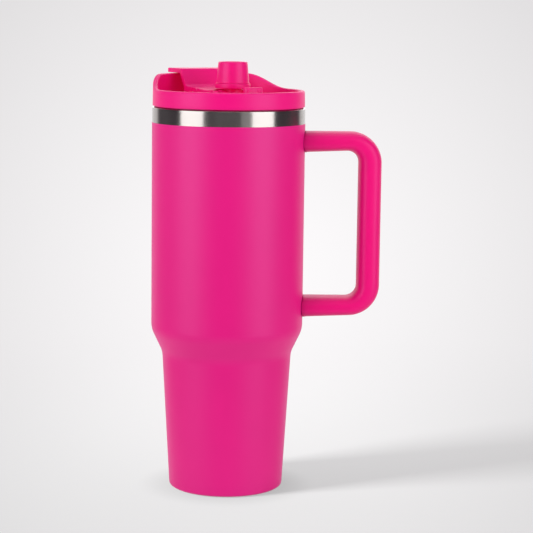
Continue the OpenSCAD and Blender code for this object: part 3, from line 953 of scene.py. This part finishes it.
def floor():
    """Pale floor, partly see-through, so that the backdrop's glow runs on across it.

    It fades out away from the cup. Its emission paints light: a brighter patch behind the cup,
    and a painted contact shadow close round the foot.
    """
    d = FLOOR_HALF
    corners = [(-d, -d, 0), (d, -d, 0), (d, d, 0), (-d, d, 0)]
    obj = new_object("studio_floor", corners, [(0, 1, 2, 3)])
    material, tree, principled = shader(
        "studio_floor", FLOOR_GREY, 0.9, Specular_IOR_Level=0.0, Emission_Color=FLOOR_GLOW)
    where = node(tree, "ShaderNodeTexCoord").outputs["Object"]
    from_cup = vector_maths(tree, "LENGTH", where, output="Value")
    cover = ramp(tree, from_cup, 0, FLOOR_FADED, FLOOR_COVER, 0)
    tree.links.new(cover, principled.inputs["Alpha"])
    offset = vector_maths(tree, "SUBTRACT", where, POOL_CENTRE)
    squashed = vector_maths(tree, "MULTIPLY", offset, POOL_SQUASH)
    from_pool = vector_maths(tree, "LENGTH", squashed, output="Value")
    # Painted light: the floor's emission is brighter in a patch behind the cup.
    painted_light_pool = ramp(tree, from_pool, 0.08, 0.33, POOL_BRIGHT, POOL_DIM, smooth=False)
    # Painted contact shadow: the floor's emission dims close round the foot.
    painted_contact_shadow = ramp(tree, from_cup, CONTACT_FROM, CONTACT_TO, CONTACT_DIM, 1)
    strength = maths(tree, "MULTIPLY", painted_light_pool, painted_contact_shadow)
    tree.links.new(strength, principled.inputs["Emission Strength"])
    obj.data.materials.append(material)
    return obj


def world():
    """Dim room in front of the cup, pale backdrop behind and below it, all seamless.

    Seen directly, the backdrop glows round one direction that is fixed in the room.
    """
    made = bpy.data.worlds.new("studio")
    made.use_nodes = True
    bpy.context.scene.world = made
    tree = made.node_tree
    tree.nodes.clear()
    direction = node(tree, "ShaderNodeTexCoord").outputs["Generated"]
    apart = node(tree, "ShaderNodeSeparateXYZ")
    tree.links.new(direction, apart.inputs["Vector"])
    behind = ramp(tree, apart.outputs["Y"], 0.6, 0.76, 0, 1)
    below = ramp(tree, apart.outputs["Z"], -0.2, -0.55, 0, 0.9)
    beside = ramp(tree, apart.outputs["Y"], -0.1, 0.4, 0, 0.1)
    pale = maths(tree, "MAXIMUM", beside, maths(tree, "MAXIMUM", behind, below))
    room = mixed(tree, pale, ROOM_DARK, ROOM_PALE)
    cosine = vector_maths(tree, "DOT_PRODUCT", direction, VIEW.normalized(), "Value")
    angle = node(tree, "ShaderNodeMath", operation="ARCCOSINE")
    tree.links.new(cosine, angle.inputs[0])
    curve = maths(tree, "POWER", angle.outputs["Value"], BACKDROP_CURVE)
    dimming = ramp(tree, curve, 0, BACKDROP_SPREAD, 0, 1, smooth=False)
    glow = mixed(tree, dimming, BACKDROP_BRIGHT, BACKDROP_DIM)
    seen = node(tree, "ShaderNodeLightPath").outputs["Is Camera Ray"]
    light = node(tree, "ShaderNodeBackground")
    output = node(tree, "ShaderNodeOutputWorld")
    tree.links.new(mixed(tree, seen, room, glow), light.inputs["Color"])
    tree.links.new(light.outputs["Background"], output.inputs["Surface"])


def camera():
    """Camera at the photograph's viewing angle, slightly rolled as the photograph is."""
    lens = bpy.data.cameras.new("view")
    lens.lens = FOCAL_LENGTH
    lens.sensor_width = SENSOR_WIDTH
    obj = bpy.data.objects.new("view", lens)
    bpy.context.scene.collection.objects.link(obj)
    obj.location = CAMERA_PLACE
    level = VIEW.to_track_quat("-Z", "Y").to_matrix()
    roll = Matrix.Rotation(math.radians(CAMERA_ROLL), 3, "Z")
    obj.rotation_euler = (level @ roll).to_euler()
    bpy.context.scene.camera = obj


def link_light(lamp, obj, state):
    """Light linking: EXCLUDE keeps a lamp off one object, INCLUDE keeps it to that object."""
    group = bpy.data.collections.new(lamp.name + "_lights")
    group.objects.link(obj)
    group.collection_objects[0].light_linking.link_state = state
    lamp.light_linking.receiver_collection = group


def lights(ground, grip):
    """Softboxes round the cup, a lamp for the floor's shadow and a fill for the handle."""
    area_light("softbox_top", (0, 0.2, 1.5), MIDDLE, 1.3, 1.3, 1.3)
    for name, place, width, height, radiance in (
        ("softbox_left", (-0.92, -0.61, 0.47), 0.8, 1.25, 3.12),
        ("softbox_right", (0.87, -0.67, 0.42), 0.73, 1.2, 3.1),
        ("fill_right", (0.5, -0.98, 0.45), 0.36, 1.1, 0.42),
        ("softbox_front", (0.1, -1.1, 1.15), 1.2, 0.6, 1.0),
        ("softbox_back", (0.2, 1.2, 0.7), 1.4, 0.9, 0.72),
        ("edge_left", (-1.1, 0.37, 0.18), 0.6, 0.9, 1.15),
        ("edge_right", (1.1, 0.35, 0.06), 0.6, 0.9, 0.8),
    ):
        lamp = area_light(name, place, MIDDLE, width, height, radiance)
        lamp.visible_glossy = not name.startswith("edge")
        link_light(lamp, ground, "EXCLUDE")
    fill = area_light("handle_fill", (-0.6, -0.9, 0.12), (0.09, 0, 0.17), 0.4, 0.9, 1.9)
    fill.visible_glossy = False
    link_light(fill, grip, "INCLUDE")
    low_sun = area_light("floor_light", (-6.95, -3.0, 4.3), (0, 0, 0), 2.1, 3.0, 149)
    link_light(low_sun, ground, "INCLUDE")


camera()
finish_cad_nodes()
outer_shell()
rim_band()
inner_liner()
base_pad()
grip = handle()
lid_ring()
hinge_block()
spout_catch()
sip_flap()
spout()
ground = floor()
world()
lights(ground, grip)
bpy.context.scene.view_settings.view_transform = "Standard"
